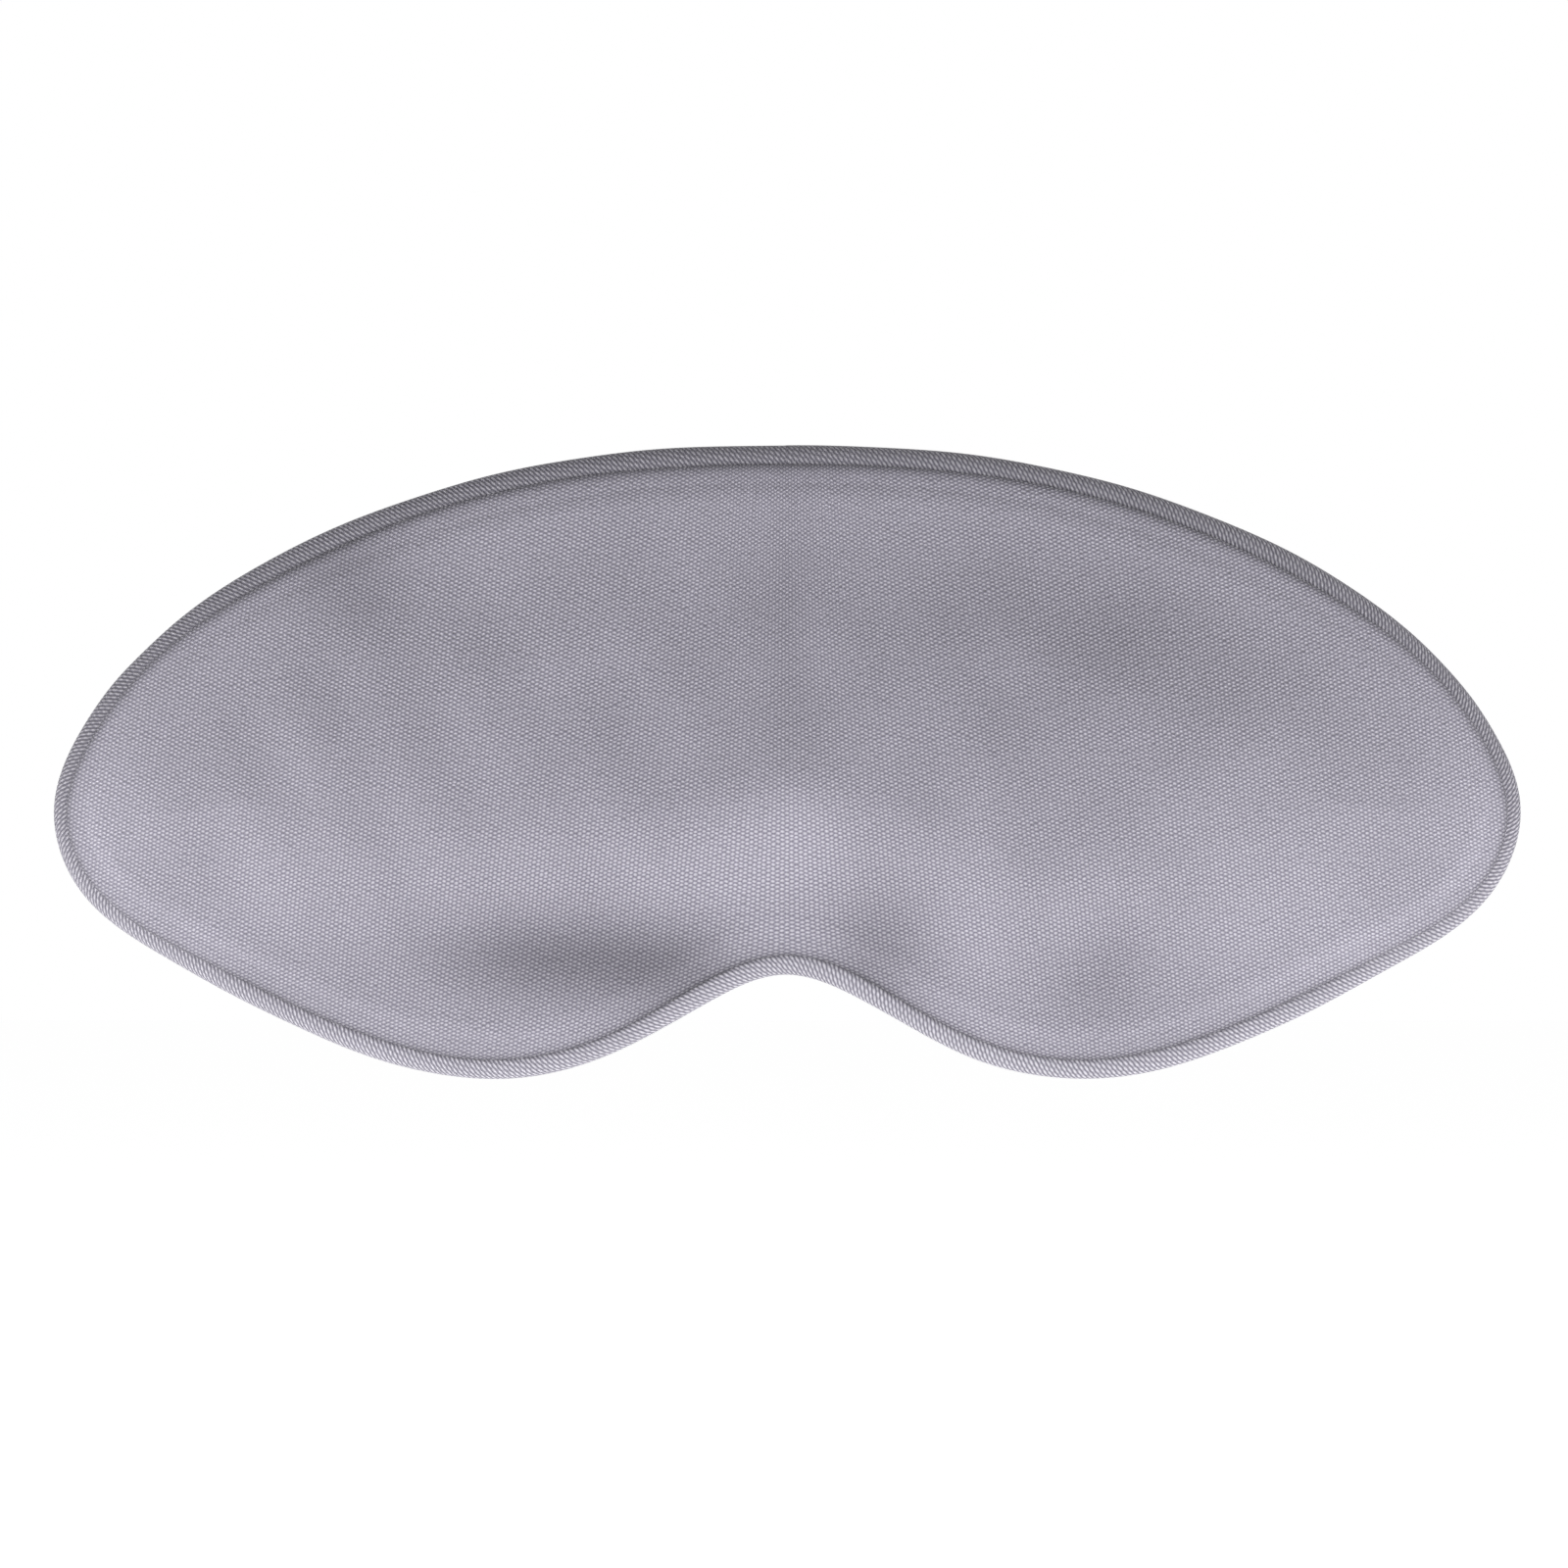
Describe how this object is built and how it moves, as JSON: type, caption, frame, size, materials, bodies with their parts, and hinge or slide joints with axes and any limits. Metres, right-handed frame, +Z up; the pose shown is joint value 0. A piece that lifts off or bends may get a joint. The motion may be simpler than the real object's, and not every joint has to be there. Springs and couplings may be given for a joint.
{
  "type": "sleep eye mask",
  "caption": "Contoured padded sleep mask in pebbled knit, with a rolled edge, eye cushions, a nose notch and an elastic head strap whose slider sets its length.",
  "frame": {"origin": "on the lining's face side, on the symmetry plane, level with the strap and the pad's widest points", "axes": "+X towards the wearer's left, along the pad's length; +Y from the pad towards the wearer's face; +Z up"},
  "size_m": [0.2398, 0.1597, 0.1029],
  "materials": {
    "shell_knit": "pebbled knit, matt",
    "blackout_film": "matt black interlining",
    "core_foam": "moulded open-cell foam",
    "lining_jersey": "brushed jersey, matt",
    "cushion_jersey": "brushed jersey over foam, matt",
    "binding_knit": "ribbed bias-cut knit, matt",
    "patch_felt": "felt, matt",
    "elastic": "woven elastic, satin ribs",
    "thread": "polyester thread, satin",
    "moulded_plastic": "smooth moulded plastic"
  },
  "bodies": {
    "pad": {"outer_shell": "shell_knit", "blackout_layer": "blackout_film", "foam_core": "core_foam", "inner_lining": "lining_jersey", "edge_binding": "binding_knit", "binding_stitches": "thread", "eye_cushion_left": "cushion_jersey", "eye_cushion_right": "cushion_jersey", "nose_seal": "cushion_jersey", "strap_patch_left": "patch_felt", "strap_patch_right": "patch_felt", "strap_root_left": "elastic", "strap_root_right": "elastic", "root_stitches_left": "thread", "root_stitches_right": "thread"},
    "strap": {"strap_band": "elastic", "ring_tab": "elastic", "tab_stitches": "thread", "adjuster_ring": "moulded_plastic", "strap_return": "elastic"},
    "slider": {"adjuster_slider": "moulded_plastic", "strap_end_loop": "elastic", "loop_stitches": "thread"}
  },
  "joints": [
    {"name": "strap_swing", "type": "hinge", "parent": "pad", "child": "strap", "pos_m": [0, 0.038, 0], "axis": [1, 0, 0], "range_deg": [-70, 70], "stiffness_Nm_per_rad": 0.15},
    {"name": "slider_travel", "type": "slide", "parent": "strap", "child": "slider", "axis": [-0.2079, 0.9781, 0], "range_m": [-0.01, 0.016], "deforming": ["strap_return"]}
  ]
}
